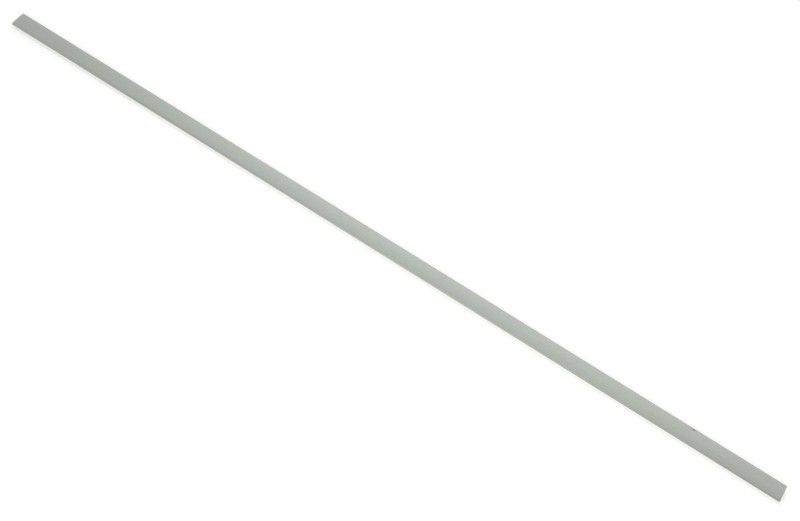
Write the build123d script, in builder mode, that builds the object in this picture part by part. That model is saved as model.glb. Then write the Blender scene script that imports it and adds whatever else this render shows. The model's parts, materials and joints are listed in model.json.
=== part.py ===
"""Slim flat-faced trim moulding: a straight extruded cap strip, cut square at both ends.

Lengths are in millimetres. +X runs along the strip, +Y across it and +Z up.
The origin is at the middle of the strip, on the plane that its two rims stand on.
"""
import os

from build123d import *

# Length of the stock, and the panel edge that the strip caps
strip_length = 600.0
panel_thickness = 10.0
panel_clearance = 0.1

# Walls of the extrusion
side_wall = 0.9
web_thickness = 1.2
channel_depth = 4.5

# Shape of the face and of the corners
face_crown = 0.3
face_edge_radius = 1.0
channel_corner_radius = 0.4
rim_corner_radius = 0.2

# Sizes that follow from those
half_channel = panel_thickness / 2 + panel_clearance
half_width = half_channel + side_wall
face_height = channel_depth + web_thickness
shoulder_height = face_height - face_crown

os.makedirs("parts", exist_ok=True)

# The section is drawn across the strip, open at the bottom, and extruded along it
with BuildPart() as trim_strip:
    with BuildSketch(Plane.YZ) as section:
        with BuildLine():
            face = ThreePointArc(
                (-half_width, shoulder_height),
                (0, face_height),
                (half_width, shoulder_height),
            )
            Polyline(
                face @ 1,
                (half_width, 0),
                (half_channel, 0),
                (half_channel, channel_depth),
                (-half_channel, channel_depth),
                (-half_channel, 0),
                (-half_width, 0),
                face @ 0,
            )
        make_face()
        fillet(section.vertices().group_by(Axis.Y)[1], radius=channel_corner_radius)
        fillet(section.vertices().group_by(Axis.Y)[-1], radius=face_edge_radius)
        fillet(section.vertices().group_by(Axis.Y)[0], radius=rim_corner_radius)
    extrude(amount=strip_length / 2, both=True)

trim_strip.part.label = "trim_strip"
export_step(trim_strip.part, "parts/trim_strip.step")
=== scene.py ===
"""Finish, stage and camera for a slim straight trim moulding with a satin silver-grey face.

Lengths are in metres. +X runs along the strip, +Y across it and +Z up.
"""
import json
import math

import bpy
from bpy.props import FloatProperty, FloatVectorProperty, IntProperty, PointerProperty
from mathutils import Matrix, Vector


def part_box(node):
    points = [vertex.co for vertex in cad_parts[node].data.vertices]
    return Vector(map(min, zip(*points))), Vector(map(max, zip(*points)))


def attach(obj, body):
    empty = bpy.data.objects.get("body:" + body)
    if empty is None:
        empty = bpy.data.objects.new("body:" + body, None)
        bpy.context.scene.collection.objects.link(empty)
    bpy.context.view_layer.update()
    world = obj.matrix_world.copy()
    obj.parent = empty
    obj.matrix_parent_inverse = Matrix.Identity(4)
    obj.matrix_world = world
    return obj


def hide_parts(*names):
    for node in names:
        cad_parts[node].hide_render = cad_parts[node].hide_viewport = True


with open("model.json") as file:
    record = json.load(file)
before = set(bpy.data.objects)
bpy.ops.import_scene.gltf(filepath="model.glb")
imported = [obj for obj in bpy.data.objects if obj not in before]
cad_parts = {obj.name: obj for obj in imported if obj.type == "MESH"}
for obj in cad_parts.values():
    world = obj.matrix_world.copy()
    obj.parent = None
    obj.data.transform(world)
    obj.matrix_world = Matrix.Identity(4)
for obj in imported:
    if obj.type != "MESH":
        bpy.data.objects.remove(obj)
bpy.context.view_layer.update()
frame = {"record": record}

bl_info = {
    "name": "Trim Moulding",
    "version": (1, 0, 0),
    "blender": (4, 5, 0),
    "location": "View3D > Sidebar > Moulding",
    "description": "Models and finishes a slim straight trim moulding on a pale studio floor",
    "category": "Object",
}

MM = 0.001
TINY = 0.001 * MM
NODE = "trim_strip"
BODY = "root"

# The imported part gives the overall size, and its mounts give the walls
LOW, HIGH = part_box(NODE)
MOUNTS = {mount["name"]: Vector(mount["pos_m"]) for mount in frame["record"]["mounts"]}
HALF_LENGTH = HIGH.x
HALF_WIDTH = HIGH.y
FACE_TOP = HIGH.z
CHANNEL_CEILING = MOUNTS["channel_seat"].z
SIDE_WALL = 2 * (HALF_WIDTH - MOUNTS["far_rim"].y)
HALF_CHANNEL = HALF_WIDTH - SIDE_WALL

# How finely the roundings of the section are divided, and the angle past which an edge stays sharp
ROOT_STEPS = 6
RIM_STEPS = 5
EDGE_STEPS = 12
FACE_STEPS = 18
SHARP_ANGLE = math.radians(30)

# Colours of the marks that making and handling leave, and of the shade painted along the near edge
FILM_CLOUD = (0.42, 0.43, 0.43, 1.0)
SMUDGE = (0.30, 0.29, 0.32, 1.0)
SPECK = (0.17, 0.17, 0.17, 1.0)
# Painted shade: the dark line along the rounding of the near edge
PAINTED_EDGE_SHADE = (0.21, 0.21, 0.185, 1.0)
BODY_CLOUD = (0.78, 0.77, 0.70, 1.0)

# The band that most of a noise's values lie in
NOISE_BAND = (0.3, 0.7)

# The sockets of a Mix node that carry its two colours and its result
COLOUR_A = 6
COLOUR_B = 7
COLOUR_RESULT = 2


class StripSettings(bpy.types.PropertyGroup):
    """Shape of the moulding"""

    face_crown: FloatProperty(
        name="Face crown", description="How far the face bulges between its two edges",
        default=0.28 * MM, min=0.01 * MM, unit="LENGTH", precision=5)
    edge_radius: FloatProperty(
        name="Edge radius", description="Radius between the face and each side",
        default=1.0 * MM, min=0.0, unit="LENGTH", precision=5)
    root_radius: FloatProperty(
        name="Root radius", description="Radius in the inner corners of the channel",
        default=0.4 * MM, min=0.0, unit="LENGTH", precision=5)
    rim_radius: FloatProperty(
        name="Rim radius", description="Radius on both corners of each rim",
        default=0.2 * MM, min=0.0, unit="LENGTH", precision=5)
    film_step: FloatProperty(
        name="Film step", description="How far the face film stands out from the white sides",
        default=0.04 * MM, min=0.0, unit="LENGTH", precision=5)
    film_lap: FloatProperty(
        name="Film lap",
        description="How far the face film reaches down each side below the edge radius",
        default=0.3 * MM, min=0.0, unit="LENGTH", precision=5)
    cut_chamfer: FloatProperty(
        name="Cut chamfer", description="Width of the eased edge round each sawn end",
        default=0.06 * MM, min=0.0, unit="LENGTH", precision=5)
    length_cuts: IntProperty(
        name="Length cuts", description="Divisions of the mesh along the strip",
        default=23, min=0)


class FinishSettings(bpy.types.PropertyGroup):
    """Colours, marks, and painted light and shade of the moulding"""

    film_colour: FloatVectorProperty(
        name="Film colour", description="Main colour of the satin face film",
        default=(0.434, 0.470, 0.427), subtype="COLOR", min=0.0, max=1.0)
    # Painted light: a warmer tint painted on the film towards both ends
    warm_light_colour: FloatVectorProperty(
        name="Warm light colour",
        description="Warmer light painted on the face film towards its two ends",
        default=(0.445, 0.462, 0.426), subtype="COLOR", min=0.0, max=1.0)
    body_colour: FloatVectorProperty(
        name="Body colour", description="Main colour of the extruded body",
        default=(0.905, 0.92, 0.862), subtype="COLOR", min=0.0, max=1.0)
    # Painted shade: how dark the line painted along the near edge's rounding is
    painted_edge_shade: FloatProperty(
        name="Painted edge shade",
        description="Strength of the dark shade painted along the near edge",
        default=0.62, min=0.0, max=1.0, subtype="FACTOR")
    streak_depth: FloatProperty(
        name="Streak depth", description="How much lighter and darker the broad streaks are",
        default=0.02, min=0.0, max=1.0, subtype="FACTOR")
    hairline_depth: FloatProperty(
        name="Hairline depth", description="How much lighter and darker the fine hairlines are",
        default=0.05, min=0.0, max=1.0, subtype="FACTOR")
    mottle_depth: FloatProperty(
        name="Mottle depth", description="How much lighter and darker the fine mottle is",
        default=0.035, min=0.0, max=1.0, subtype="FACTOR")
    film_metallic: FloatProperty(
        name="Film metallic", description="How much the face film shines like metal",
        default=0.75, min=0.0, max=1.0, subtype="FACTOR")
    speck_place: FloatVectorProperty(
        name="Speck place", description="Middle of the dark speck on the face",
        default=(235.6 * MM, 4.5 * MM, 5.6 * MM), subtype="TRANSLATION", precision=5)
    speck_radius: FloatProperty(
        name="Speck radius", description="Radius of the dark speck on the face",
        default=0.5 * MM, min=0.01 * MM, unit="LENGTH", precision=5)


class StageSettings(bpy.types.PropertyGroup):
    """Floor, lamps and camera"""

    floor_width: FloatProperty(
        name="Floor width", description="Width of the square floor",
        default=24.0, min=1.0, unit="LENGTH")
    near_glow: FloatProperty(
        name="Near glow", description="How much the floor is lifted towards white beside the strip",
        default=0.20, min=0.0)
    far_glow: FloatProperty(
        name="Far glow",
        description="How much the floor is lifted towards white far from the strip",
        default=0.36, min=0.0)
    world_level: FloatProperty(
        name="World level", description="Strength of the even light from all round",
        default=0.692, min=0.0)
    camera_place: FloatVectorProperty(
        name="Camera place", description="Where the camera stands",
        default=(0.16216, -0.36764, 0.66369), subtype="TRANSLATION", precision=5)
    camera_turn: FloatVectorProperty(
        name="Camera turn", description="How the camera is turned from looking straight down",
        default=tuple(math.radians(angle) for angle in (29.9404, -6.9058, 32.7329)),
        subtype="EULER", precision=5)
    camera_lens: FloatProperty(
        name="Camera lens", description="Focal length in millimetres on a 36 mm wide sensor",
        default=53.03, min=1.0)


def deselect_all():
    """Leaves nothing selected, so that an operator acts only on the piece in hand."""
    if bpy.context.object and bpy.context.object.mode != "OBJECT":
        bpy.ops.object.mode_set(mode="OBJECT")
    bpy.ops.object.select_all(action="DESELECT")


def select_edges(piece, wanted):
    """Selects in edit mode the edges whose two end points pass the test."""
    bpy.ops.object.mode_set(mode="EDIT")
    bpy.ops.mesh.select_mode(type="EDGE")
    bpy.ops.mesh.select_all(action="DESELECT")
    bpy.ops.object.mode_set(mode="OBJECT")
    corners = piece.data.vertices
    for edge in piece.data.edges:
        edge.select = wanted(*(corners[index].co for index in edge.vertices))
    bpy.ops.object.mode_set(mode="EDIT")


def select_faces(piece, wanted):
    """Selects in edit mode the faces that pass the test."""
    bpy.ops.object.mode_set(mode="EDIT")
    bpy.ops.mesh.select_mode(type="FACE")
    bpy.ops.mesh.select_all(action="DESELECT")
    bpy.ops.object.mode_set(mode="OBJECT")
    for face in piece.data.polygons:
        face.select = wanted(face)
    bpy.ops.object.mode_set(mode="EDIT")


def run_edge(step_y, step_z):
    """Draws the selected long edge straight across the section, with a wall behind it."""
    bpy.ops.mesh.extrude_region_move(TRANSFORM_OT_translate={"value": (0, step_y, step_z)})


def turn_edge(centre_y, centre_z, angle, steps):
    """Sweeps the selected long edge round a corner of the section, from +Z towards +Y."""
    bpy.ops.mesh.spin(
        steps=steps, angle=angle, center=(0, centre_y, centre_z), axis=(1, 0, 0))


def edge_round(shape):
    """Gives the centre of the edge radius, the height of the crown's centre and half its angle."""
    crown_radius = (HALF_WIDTH ** 2 + shape.face_crown ** 2) / (2 * shape.face_crown)
    crown_centre = FACE_TOP - crown_radius
    reach = crown_radius - shape.edge_radius
    centre_y = HALF_WIDTH - shape.edge_radius
    crown_angle = math.asin(centre_y / reach)
    return centre_y, crown_centre + reach * math.cos(crown_angle), crown_centre, crown_angle


def draw_half_section(shape):
    """Walks the long edge of the channel's ceiling round half of the section, to the face."""
    edge_y, edge_z, crown_centre, crown_angle = edge_round(shape)
    side_plane = HALF_WIDTH - shape.film_step
    rim = shape.rim_radius
    root = shape.root_radius
    quarter = math.pi / 2

    turn_edge(HALF_CHANNEL - root, CHANNEL_CEILING - root, quarter, ROOT_STEPS)
    run_edge(0, rim + root - CHANNEL_CEILING)
    turn_edge(HALF_CHANNEL + rim, rim, -quarter, RIM_STEPS)
    run_edge(side_plane - HALF_CHANNEL - 2 * rim, 0)
    turn_edge(side_plane - rim, rim, -quarter, RIM_STEPS)
    run_edge(0, edge_z - shape.film_lap - rim)
    run_edge(shape.film_step, 0)
    run_edge(0, shape.film_lap)
    turn_edge(edge_y, edge_z, crown_angle - quarter, EDGE_STEPS)
    turn_edge(0, crown_centre, -crown_angle, FACE_STEPS)


def mirror_half(strip):
    """Adds the other half of the section, joined along the middle."""
    bpy.ops.object.mode_set(mode="OBJECT")
    other_half = strip.modifiers.new("Other half", "MIRROR")
    other_half.use_axis = (False, True, False)
    other_half.merge_threshold = TINY
    bpy.ops.object.modifier_apply(modifier=other_half.name)


def close_end(strip, shape, side):
    """Fills one end and eases the edge round the cut."""
    cut = HALF_LENGTH - shape.cut_chamfer - TINY
    select_edges(strip, lambda a, b: min(a.x * side, b.x * side) > cut)
    bpy.ops.mesh.edge_face_add()
    bpy.ops.mesh.inset(thickness=shape.cut_chamfer, depth=0)
    bpy.ops.transform.translate(value=(side * shape.cut_chamfer, 0, 0))


def model_strip(shape):
    """Models the moulding as one closed mesh, from the flat ceiling of its channel outwards."""
    deselect_all()
    half_ceiling = HALF_CHANNEL - shape.root_radius
    sawn_length = 2 * (HALF_LENGTH - shape.cut_chamfer)
    bpy.ops.mesh.primitive_plane_add(size=1, location=(0, half_ceiling / 2, CHANNEL_CEILING))
    strip = bpy.context.object
    strip.name = "trim_moulding"
    strip.data.name = "trim_moulding"
    strip.scale = (sawn_length, half_ceiling, 1)
    bpy.ops.object.transform_apply(location=True, rotation=True, scale=True)

    select_edges(strip, lambda a, b: min(a.y, b.y) > half_ceiling - TINY)
    draw_half_section(shape)
    mirror_half(strip)

    select_edges(strip, lambda a, b: abs(a.x - b.x) > HALF_LENGTH)
    bpy.ops.mesh.subdivide(number_cuts=shape.length_cuts)
    for side in (-1, 1):
        close_end(strip, shape, side)
    bpy.ops.mesh.select_all(action="SELECT")
    bpy.ops.mesh.normals_make_consistent(inside=False)
    deselect_all()
    strip.select_set(True)
    bpy.ops.object.shade_smooth_by_angle(angle=SHARP_ANGLE)
    return strip


def new_material(name):
    """Starts a material and gives its node tree and its main shader."""
    material = bpy.data.materials.new(name)
    material.use_nodes = True
    tree = material.node_tree
    return material, tree, tree.nodes["Principled BSDF"]


def add_node(tree, kind, inputs=None, **settings):
    """Adds a node, with its settings, and with values or links on its inputs."""
    node = tree.nodes.new(kind)
    for name, value in settings.items():
        setattr(node, name, value)
    for name, value in (inputs or {}).items():
        if isinstance(value, bpy.types.NodeSocket):
            tree.links.new(value, node.inputs[name])
        else:
            node.inputs[name].default_value = value
    return node


def stretched_noise(tree, place, scale, detail=3.0):
    """Noise on the piece's own coordinates, with a scale for each axis in features a metre."""
    spread = add_node(tree, "ShaderNodeMapping", {"Vector": place, "Scale": scale})
    noise = add_node(
        tree, "ShaderNodeTexNoise",
        {"Vector": spread.outputs["Vector"], "Scale": 1.0, "Detail": detail})
    return noise.outputs["Fac"]


def ranged(tree, value, low, high, start=0.0, end=1.0, kind="LINEAR"):
    """Maps a value that runs from start to end onto the range from low to high."""
    node = add_node(
        tree, "ShaderNodeMapRange",
        {"Value": value, "From Min": start, "From Max": end, "To Min": low, "To Max": high},
        interpolation_type=kind)
    return node.outputs["Result"]


def noise_range(tree, noise, low, high):
    """Maps the band that most of a noise's values lie in onto the range from low to high."""
    return ranged(tree, noise, low, high, *NOISE_BAND)


def times(tree, first, second):
    """Multiplies two values."""
    node = add_node(tree, "ShaderNodeMath", {0: first, 1: second}, operation="MULTIPLY")
    return node.outputs["Value"]


def uneven_place(tree, place, reach):
    """Coordinates nudged about by noise, so that a mark gets an uneven outline."""
    noise = add_node(
        tree, "ShaderNodeTexNoise", {"Vector": place, "Scale": 1600.0, "Detail": 2.0})
    centred = add_node(
        tree, "ShaderNodeVectorMath", {0: noise.outputs["Color"], 1: (0.5, 0.5, 0.5)},
        operation="SUBTRACT")
    nudge = add_node(
        tree, "ShaderNodeVectorMath", {0: centred.outputs["Vector"], "Scale": 2 * reach},
        operation="SCALE")
    moved = add_node(
        tree, "ShaderNodeVectorMath", {0: place, 1: nudge.outputs["Vector"]}, operation="ADD")
    return moved.outputs["Vector"]


def mixed_colour(tree, factor, first, second):
    """Mixes two colours by a factor."""
    node = add_node(
        tree, "ShaderNodeMix", {"Factor": factor, COLOUR_A: first, COLOUR_B: second},
        data_type="RGBA")
    return node.outputs[COLOUR_RESULT]


def varied(tree, colour, noise, amount):
    """Makes a colour lighter and darker by a share, as noise rises and falls about its middle."""
    level = noise_range(tree, noise, 1 - amount, 1 + amount)
    node = add_node(
        tree, "ShaderNodeVectorMath", {0: colour, "Scale": level}, operation="SCALE")
    return node.outputs["Vector"]


def shade(colour, factor):
    """A colour made lighter or darker, with full alpha."""
    return (*(min(1.0, channel * factor) for channel in colour), 1.0)


def spot_mask(tree, place, centre, reach, softness):
    """A mask that is 1 within an ellipse round a point, and fades to 0 outside it."""
    shifted = add_node(
        tree, "ShaderNodeMapping",
        {"Vector": place, "Location": centre, "Scale": reach}, vector_type="TEXTURE")
    length = add_node(
        tree, "ShaderNodeVectorMath", {0: shifted.outputs["Vector"]}, operation="LENGTH")
    return ranged(tree, length.outputs["Value"], 0.0, 1.0, 1.0 + softness, 1.0, "SMOOTHSTEP")


def warm_light_ends(tree, place):
    """A mask that grows slowly from the middle of the strip to both ends, where warmer light is
    painted.
    """
    along = add_node(tree, "ShaderNodeSeparateXYZ", {"Vector": place}).outputs["X"]
    distance = add_node(tree, "ShaderNodeMath", {0: along}, operation="ABSOLUTE")
    return ranged(
        tree, distance.outputs["Value"], 0.0, 1.0, 0.35 * HALF_LENGTH, HALF_LENGTH, "SMOOTHSTEP")


def painted_edge_shade_mask(tree, place, strength):
    """A mask of painted shade along the rounding of the near edge, which grows towards the right
    end.
    """
    along, across, _ = add_node(tree, "ShaderNodeSeparateXYZ", {"Vector": place}).outputs
    edge = ranged(
        tree, across, 0.0, 1.0, 0.8 * MM - HALF_WIDTH, 0.35 * MM - HALF_WIDTH, "SMOOTHSTEP")
    growth = ranged(
        tree, along, 0.08 * strength, strength, -0.05 * HALF_LENGTH, 0.75 * HALF_LENGTH)
    patches = noise_range(
        tree, stretched_noise(tree, place, (45, 900, 900)), low=0.85, high=1.15)
    return times(tree, edge, times(tree, growth, patches))


def film_finish(look):
    """Satin silver-grey film: fine flakes, hairlines along the strip, shade painted along the near
    edge, warmer light painted towards the ends, and a speck.
    """
    material, tree, shader = new_material("satin silver face film")
    place = add_node(tree, "ShaderNodeTexCoord").outputs["Object"]
    hairlines = stretched_noise(tree, place, (9, 5200, 5200), detail=4.0)
    streaks = stretched_noise(tree, place, (5, 900, 900))
    cloud = stretched_noise(tree, place, (35, 90, 90), detail=2.0)
    mottle = stretched_noise(tree, place, (800, 800, 800), detail=2.0)
    flakes = add_node(
        tree, "ShaderNodeTexVoronoi", {"Vector": place, "Scale": 9000.0}).outputs["Color"]

    # Painted light: the film turns warmer towards both ends
    film = mixed_colour(
        tree, warm_light_ends(tree, place), shade(look.film_colour, 1.0),
        shade(look.warm_light_colour, 1.0))
    streaked = varied(tree, film, streaks, look.streak_depth)
    lined = varied(tree, streaked, hairlines, look.hairline_depth)
    mottled = varied(tree, lined, mottle, look.mottle_depth)
    clouded = mixed_colour(tree, ranged(tree, cloud, low=0.0, high=0.12), mottled, FILM_CLOUD)

    marked = uneven_place(tree, place, reach=0.35 * MM)
    smudge_centre = Vector(look.speck_place) - Vector((2.4 * MM, 0, 0))
    smudge = spot_mask(
        tree, marked, smudge_centre, reach=(0.6 * MM, 0.3 * MM, 1.0 * MM), softness=1.2)
    smudged = mixed_colour(tree, ranged(tree, smudge, low=0.0, high=0.3), clouded, SMUDGE)
    speck = spot_mask(
        tree, marked, look.speck_place, reach=(look.speck_radius, look.speck_radius, 1.0 * MM),
        softness=0.35)
    spotted = mixed_colour(tree, speck, smudged, SPECK)
    # Painted shade: a dark line mixed into the film along the near edge
    shaded_edge = painted_edge_shade_mask(tree, place, look.painted_edge_shade)
    tree.links.new(mixed_colour(tree, shaded_edge, spotted, PAINTED_EDGE_SHADE), shader.inputs["Base Color"])

    satin = noise_range(tree, streaks, low=0.31, high=0.39)
    tree.links.new(satin, shader.inputs["Roughness"])
    shader.inputs["Metallic"].default_value = look.film_metallic
    relief = add_node(tree, "ShaderNodeMath", {0: flakes, 1: hairlines}, operation="ADD")
    bump = add_node(
        tree, "ShaderNodeBump",
        {"Height": relief.outputs["Value"], "Distance": 0.004 * MM, "Strength": 0.6})
    tree.links.new(bump.outputs["Normal"], shader.inputs["Normal"])
    return material


def body_finish(look):
    """White extruded plastic, with faint drawing lines along the strip."""
    material, tree, shader = new_material("white extruded body")
    place = add_node(tree, "ShaderNodeTexCoord").outputs["Object"]
    lines = stretched_noise(tree, place, (3, 2600, 2600), detail=4.0)
    cloud = stretched_noise(tree, place, (25, 120, 120), detail=2.0)
    lined = mixed_colour(
        tree, noise_range(tree, lines, low=0.0, high=1.0), shade(look.body_colour, 0.97),
        shade(look.body_colour, 1.01))
    coloured = mixed_colour(tree, ranged(tree, cloud, low=0.0, high=0.10), lined, BODY_CLOUD)
    tree.links.new(coloured, shader.inputs["Base Color"])
    satin = noise_range(tree, lines, low=0.36, high=0.52)
    tree.links.new(satin, shader.inputs["Roughness"])
    bump = add_node(
        tree, "ShaderNodeBump", {"Height": lines, "Distance": 0.008 * MM, "Strength": 0.6})
    tree.links.new(bump.outputs["Normal"], shader.inputs["Normal"])
    return material


def cut_finish(look):
    """The sawn ends: duller white, with the fine uneven arcs that a saw blade leaves."""
    material, tree, shader = new_material("sawn end")
    place = add_node(tree, "ShaderNodeTexCoord").outputs["Object"]
    blade = add_node(
        tree, "ShaderNodeMapping",
        {"Vector": place, "Location": (0, 60 * MM, 90 * MM)}, vector_type="TEXTURE")
    arcs = add_node(
        tree, "ShaderNodeTexWave",
        {"Vector": blade.outputs["Vector"], "Scale": 1900.0, "Distortion": 5.0, "Detail": 3.0,
         "Detail Scale": 0.6},
        wave_type="RINGS", rings_direction="X")
    torn = stretched_noise(tree, place, (7000, 7000, 7000), detail=4.0)
    depth = times(tree, arcs.outputs["Fac"], noise_range(tree, torn, low=0.4, high=1.0))
    marks = mixed_colour(
        tree, depth, shade(look.body_colour, 0.90), shade(look.body_colour, 0.985))
    tree.links.new(marks, shader.inputs["Base Color"])
    shader.inputs["Roughness"].default_value = 0.7
    bump = add_node(
        tree, "ShaderNodeBump", {"Height": depth, "Distance": 0.015 * MM, "Strength": 0.6})
    tree.links.new(bump.outputs["Normal"], shader.inputs["Normal"])
    return material


def dress_strip(strip, shape, look):
    """Gives the face, the body and the sawn ends their finishes."""
    film_edge = edge_round(shape)[1] - shape.film_lap - TINY
    cut = HALF_LENGTH - shape.cut_chamfer

    def under_film(face):
        outside = abs(face.center.y) > HALF_CHANNEL or face.normal.z > 0
        return face.center.z > film_edge and outside

    finishes = (
        (body_finish(look), lambda face: True),
        (film_finish(look), under_film),
        (cut_finish(look), lambda face: abs(face.center.x) > cut),
    )
    strip.data.materials.clear()
    for index, (material, wanted) in enumerate(finishes):
        strip.data.materials.append(material)
        select_faces(strip, wanted)
        strip.active_material_index = index
        bpy.ops.object.material_slot_assign()
    deselect_all()


class TRIM_OT_strip(bpy.types.Operator):
    """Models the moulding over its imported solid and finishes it"""

    bl_idname = "trim.strip"
    bl_label = "Moulding"

    def execute(self, context):
        shape = context.scene.trim_strip_settings
        strip = model_strip(shape)
        dress_strip(strip, shape, context.scene.trim_finish_settings)
        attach(strip, BODY)
        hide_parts(NODE)
        return {"FINISHED"}


def floor_finish(stage):
    """White floor that keeps a soft shadow, and shows white to the camera and in gloss."""
    material, tree, shader = new_material("white studio floor")
    shader.inputs["Base Color"].default_value = (0.95, 0.95, 0.95, 1.0)
    shader.inputs["Roughness"].default_value = 0.9
    rays = add_node(tree, "ShaderNodeLightPath").outputs
    camera_or_gloss = add_node(
        tree, "ShaderNodeMath", {0: rays["Is Camera Ray"], 1: rays["Is Glossy Ray"]},
        operation="MAXIMUM")
    seen = add_node(
        tree, "ShaderNodeMath",
        {0: camera_or_gloss.outputs["Value"], 1: rays["Is Transmission Ray"]},
        operation="MAXIMUM")
    place = add_node(tree, "ShaderNodeTexCoord").outputs["Object"]
    distance = add_node(tree, "ShaderNodeVectorMath", {0: place}, operation="LENGTH")
    lift = ranged(
        tree, distance.outputs["Value"], stage.near_glow, stage.far_glow, start=0.42, end=1.2,
        kind="SMOOTHSTEP")
    shader.inputs["Emission Color"].default_value = (1.0, 1.0, 0.995, 1.0)
    tree.links.new(times(tree, seen.outputs["Value"], lift), shader.inputs["Emission Strength"])
    return material


def add_floor(stage):
    """Lays the floor under the moulding."""
    deselect_all()
    bpy.ops.mesh.primitive_plane_add(size=stage.floor_width, location=(0, 0, LOW.z))
    floor = bpy.context.object
    floor.name = "studio_floor"
    floor.data.materials.append(floor_finish(stage))


def add_soft_box(name, place, size, power):
    """Hangs a square soft box that faces the middle of the strip."""
    deselect_all()
    bpy.ops.object.light_add(type="AREA", location=place)
    lamp = bpy.context.object
    lamp.name = name
    lamp.data.shape = "SQUARE"
    lamp.data.size = size
    lamp.data.energy = power
    lamp.visible_camera = False
    lamp.rotation_euler = (-Vector(place)).to_track_quat("-Z", "Y").to_euler()


def set_world(strength):
    """Even pale light from all round."""
    world = bpy.context.scene.world or bpy.data.worlds.new("World")
    bpy.context.scene.world = world
    world.use_nodes = True
    background = world.node_tree.nodes["Background"]
    background.inputs["Color"].default_value = (1.0, 1.0, 1.0, 1.0)
    background.inputs["Strength"].default_value = strength


def add_camera(stage):
    """Places the camera at the photograph's viewing angle."""
    deselect_all()
    bpy.ops.object.camera_add(location=stage.camera_place, rotation=stage.camera_turn)
    camera = bpy.context.object
    camera.name = "camera"
    camera.data.sensor_width = 36.0
    camera.data.lens = stage.camera_lens
    camera.data.clip_start = 0.01
    bpy.context.scene.camera = camera


class TRIM_OT_stage(bpy.types.Operator):
    """Lays the floor, hangs the lamps and places the camera"""

    bl_idname = "trim.stage"
    bl_label = "Stage"

    def execute(self, context):
        stage = context.scene.trim_stage_settings
        add_floor(stage)
        add_soft_box("back_soft_box", place=(0.0, 1.6, 1.2), size=1.8, power=2.60)
        add_soft_box("high_soft_box", place=(-0.3, 1.3, 1.7), size=1.8, power=3.80)
        add_soft_box("left_soft_box", place=(-1.2, 1.3, 1.2), size=1.6, power=0.79)
        add_soft_box("front_soft_box", place=(0.12, -0.45, 0.3), size=0.5, power=1.03)
        set_world(stage.world_level)
        add_camera(stage)
        context.scene.view_settings.view_transform = "Standard"
        return {"FINISHED"}


class TRIM_PT_panel(bpy.types.Panel):
    """Lists the settings and the steps of the moulding"""

    bl_label = "Trim Moulding"
    bl_idname = "TRIM_PT_panel"
    bl_space_type = "VIEW_3D"
    bl_region_type = "UI"
    bl_category = "Moulding"

    def draw(self, context):
        scene = context.scene
        for group in (
                scene.trim_strip_settings, scene.trim_finish_settings,
                scene.trim_stage_settings):
            box = self.layout.box()
            for name in group.__annotations__:
                box.prop(group, name)
        self.layout.operator(TRIM_OT_strip.bl_idname)
        self.layout.operator(TRIM_OT_stage.bl_idname)


CLASSES = (
    StripSettings,
    FinishSettings,
    StageSettings,
    TRIM_OT_strip,
    TRIM_OT_stage,
    TRIM_PT_panel,
)


def register():
    for item in CLASSES:
        bpy.utils.register_class(item)
    bpy.types.Scene.trim_strip_settings = PointerProperty(type=StripSettings)
    bpy.types.Scene.trim_finish_settings = PointerProperty(type=FinishSettings)
    bpy.types.Scene.trim_stage_settings = PointerProperty(type=StageSettings)


def unregister():
    del bpy.types.Scene.trim_stage_settings
    del bpy.types.Scene.trim_finish_settings
    del bpy.types.Scene.trim_strip_settings
    for item in reversed(CLASSES):
        bpy.utils.unregister_class(item)


def main():
    register()
    bpy.ops.trim.strip()
    bpy.ops.trim.stage()


if __name__ == "__main__":
    main()
